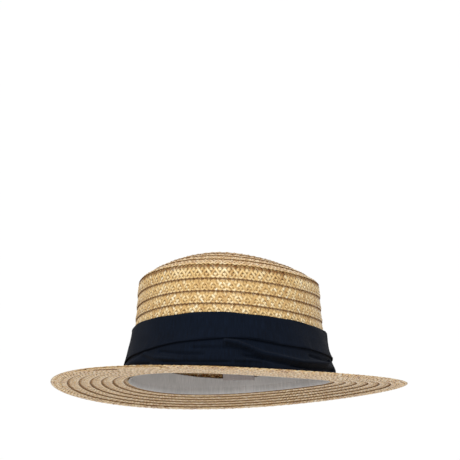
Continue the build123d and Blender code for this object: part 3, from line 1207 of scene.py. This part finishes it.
@dataclass
class BackLabel:
    """Blank cloth tag on the sweatband's top edge, at the centre back."""

    cloth: Material
    width: float = 28.0
    height: float = 20.0
    thickness: float = 0.5
    thinning: float = 0.8
    bow: float = 1.0
    columns: int = 57
    samples: int = 41
    stitch_count: int = 7

    def __post_init__(self) -> None:
        """Take its place and lean from the frame."""
        low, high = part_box("label")
        deep, tall = (high.y - low.y) / MM, (high.z - low.z) / MM
        h, t = self.height, self.thickness
        self.lean = math.atan2(h * deep - t * tall, h * tall - t * deep)
        rise = Vector((0, -math.sin(self.lean), math.cos(self.lean)))
        self.axes = Matrix((Vector((1, 0, 0)), Vector((0, math.cos(self.lean), math.sin(self.lean))), rise))
        foot_y = high.y - t * math.cos(self.lean) * MM
        self.foot = Vector(((low.x + high.x) / 2, foot_y, low.z))

    def put(self, across: ndarray, out: ndarray, up: ndarray) -> ndarray:
        """Points beside the label, in metres in the frame."""
        flat = np.stack(np.broadcast_arrays(across, out, up), -1) * MM
        return flat @ np.array(self.axes) + np.array(self.foot)

    def bulge(self, across: ndarray, up: ndarray) -> ndarray:
        """How far the label bows towards the wall."""
        part = 2 * across / self.width
        wave = 0.12 * np.sin(across * 0.45 + 0.8) * np.sin(up * 0.2)
        return self.bow * (1 - part**2) * (1 - 0.25 * up / self.height) + wave + self.thickness / 2

    def build(self) -> Object:
        """Make the label.

        Returns:
            The object.
        """
        across = np.linspace(-self.width / 2, self.width / 2, self.columns)[:, None]
        up = np.linspace(0, self.height, self.samples)[None, :]
        hem = np.clip((np.abs(across) - self.width / 2 + 1.3) / 0.4, 0, 1) * 0.16
        points = self.put(across, self.bulge(across, up) - hem, up)
        faces = grid_faces(self.columns, self.samples, False, False)
        uv = np.stack(np.broadcast_arrays(across, up), -1).reshape(-1, 2)[faces]
        piece = build_piece("back_label", points.reshape(-1, 3), faces, self.cloth, "cloth", uv)
        dress_cloth(piece, self.thickness * self.thinning, "label", "label_tag")
        self.width * MM
        self.height * MM
        return piece

    def stitches(self, maker: Stitches) -> list:
        """Stitches along the label's sewn edge."""
        pitch = self.width / self.stitch_count
        middles = (np.arange(self.stitch_count) + 0.5) * pitch - self.width / 2
        part = np.linspace(-1, 1, maker.samples)
        across = middles[:, None] + part * 1.1
        up = 1.5 + part * 0.25 + np.zeros_like(across)
        out = self.bulge(across, up) - self.thickness / 2 - 0.12 + 0.3 * part**4
        points = self.put(across, out, up)
        return [maker.tubes(points, np.tile((0.0, -1.0, 0.0), (self.stitch_count, 1)))]


# ---------------------------------------------------------------- studio


@dataclass
class Studio:
    """Floor, lights and camera."""

    aim: Vector
    azimuth: float = 5.0
    below: float = 4.65
    distance: float = 1.8
    lens: float = 165.83
    tilt: float = 4.19
    pan: float = -0.03
    roll: float = -0.15
    floor_height: float = -0.30
    surround: float = 0.66
    floor_side: float = 8.0
    backdrop: tuple = (1.0, 2.5, -0.29, 1.4)
    lamps: tuple = (("key", (-0.3, -1.6, 1.5), 0.7, 24.0), ("fill", (0.5, -1.9, -0.15), 1.0, 9.0))

    def build_floor(self) -> None:
        """Plain floor, well below the hat."""
        side = self.floor_side
        outline = ((-side, -side), (side, -side), (side, side), (-side, side))
        self.build_plane("floor", [(x, y, self.floor_height) for x, y in outline], StudioFloor().make())

    def build_backdrop(self) -> None:
        """Plain white backdrop behind the hat, lit evenly."""
        tree = FinishTree("studio_backdrop")
        finish = tree.finish({}, {
            "Base Color": (0, 0, 0, 1), "Emission Color": (1, 1, 1, 1),
            "Emission Strength": 1.0, "Roughness": 1.0,
        })
        half, back, low, high = self.backdrop
        corners = [(-half, back, low), (half, back, low), (half, back, high), (-half, back, high)]
        self.build_plane("backdrop", corners, finish)

    def build_plane(self, name: str, corners: list, finish: Material) -> None:
        """Make one plain four-sided face of the studio."""
        faces = np.array([[0, 1, 2, 3]])
        build_piece(name, np.array(corners, float), faces, finish, "floor", np.zeros((4, 2)))

    def build_lights(self) -> None:
        """White surroundings, a soft key light at the front left and a fill at the right."""
        world = bpy.data.worlds.new("studio")
        bpy.context.scene.world = world
        world.use_nodes = True
        world.node_tree.nodes["Background"].inputs["Color"].default_value = (1, 1, 1, 1)
        world.node_tree.nodes["Background"].inputs["Strength"].default_value = self.surround
        for lamp in self.lamps:
            self.add_light(*lamp)

    def add_light(self, name: str, place: tuple, size: float, power: float) -> None:
        """Add one square light that faces the hat."""
        lamp = bpy.data.lights.new(name, "AREA")
        lamp.size = size
        lamp.energy = power
        light = bpy.data.objects.new(name, lamp)
        bpy.context.scene.collection.objects.link(light)
        light.location = place
        light.rotation_euler = (self.aim - Vector(place)).to_track_quat("-Z", "Y").to_euler()

    def build_camera(self) -> None:
        """Camera a little below the hat, tilted up."""
        given = (self.azimuth, self.below, self.tilt, self.pan, self.roll)
        turn, drop, tilt, pan, roll = (math.radians(a) for a in given)
        right = Vector((math.cos(turn), math.sin(turn), 0))
        back = Vector((math.sin(turn) * math.cos(drop), -math.cos(turn) * math.cos(drop), -math.sin(drop)))
        rise = back.cross(right)
        axes = Matrix((right, rise, back)).transposed().to_4x4()
        tipped = Matrix.Rotation(tilt, 4, "X") @ Matrix.Rotation(pan, 4, "Y") @ Matrix.Rotation(roll, 4, "Z")
        camera = bpy.data.objects.new("camera", bpy.data.cameras.new("camera"))
        bpy.context.scene.collection.objects.link(camera)
        camera.data.lens = self.lens
        camera.data.sensor_width = 36.0
        camera.matrix_world = Matrix.Translation(self.aim + back * self.distance) @ axes @ tipped
        bpy.context.scene.camera = camera

    def build(self) -> None:
        """Make the whole studio."""
        self.build_floor()
        self.build_backdrop()
        self.build_lights()
        self.build_camera()
        bpy.context.scene.view_settings.view_transform = "Standard"


# ---------------------------------------------------------------- the hat


def write_size() -> None:
    """Bring the scene's placements up to date."""
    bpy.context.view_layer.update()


def opening_height(frame: dict) -> float:
    """Height of the head opening, from the record's mount."""
    mounts = {mount["name"]: mount for mount in frame["record"]["mounts"]}
    return float(mounts["head_opening"]["pos_m"][2])


def form_from(frame: dict) -> HatForm:
    """Size the hat's form by the frame."""
    low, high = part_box("brim_row_7")
    half_width = (high.x - low.x) / 2 / MM
    half_length = (high.y - low.y) / 2 / MM
    return HatForm(opening_height(frame) / MM, half_width, half_length - half_width)


def build_stitching(form: HatForm, band: HatBand, tape: SweatBand, label: BackLabel) -> None:
    """Make every group of stitches.

    Args:
        form: the hat's form.
        band: the hatband.
        tape: the sweatband.
        label: the label.
    """
    maker = Stitches(form)
    straw = Thread(ThreadColour.STRAW).make()
    navy = Thread(ThreadColour.NAVY).make()
    cotton = Thread(ThreadColour.COTTON).make()
    for zone, count in form.rows:
        edges = [form.edge_start[zone] + form.pitch[zone] * (i + 1) for i in range(count)]
        parts = [maker.seam(edge) for edge in edges]
        maker.build(f"{zone}_seams", f"{zone}_stitching", "hat", straw, "straw_thread", parts)
    maker.build("band_tacks", "hatband_tacks", "hat", navy, "navy_thread", band.stitches(maker))
    maker.build("sweatband_seam", "sweatband_stitching", "hat", cotton, "cotton_thread", tape.stitches(maker))
    maker.build("label_seam", "label_stitching", "label_tag", cotton, "cotton_thread", label.stitches(maker))


def main() -> None:
    """Build the hat, piece by piece, then the studio."""
    logging.basicConfig(level=logging.INFO, format="%(message)s")
    write_size()
    form = form_from(frame)
    log.info("opening %.2f mm up, rim half-width %.2f mm", form.lift, form.rim_half_width)
    StrawShell(form, WheatStraw().make()).build()
    log.info("straw woven")
    coarse = {"rib_pitch": 0.8, "pick_pitch": 0.8, "slub": 0.3, "depth": 0.08}
    fine = {"rib_pitch": 0.35, "pick_pitch": 0.35, "slub": 0.25, "depth": 0.05}
    navy = RibbedCloth("navy_band", (0.0012, 0.0025, 0.0058), (0.0052, 0.0102, 0.0228))
    grey = RibbedCloth("grey_tape", (0.33, 0.32, 0.315), (0.68, 0.66, 0.64), **coarse)
    tag = RibbedCloth("label_weave", (0.28, 0.25, 0.245), (0.53, 0.48, 0.46), **fine)
    seat = form.braid_thickness + form.rise + 0.3
    band = HatBand(form, seat, navy.make())
    band.build()
    tape = SweatBand(form, grey.make())
    tape.build()
    label = BackLabel(tag.make())
    label.build()
    build_stitching(form, band, tape, label)
    log.info("cloth and stitches made")
    Studio(Vector((0, 0, form.lift * MM))).build()
    write_size()


if __name__ == "__main__":
    main()
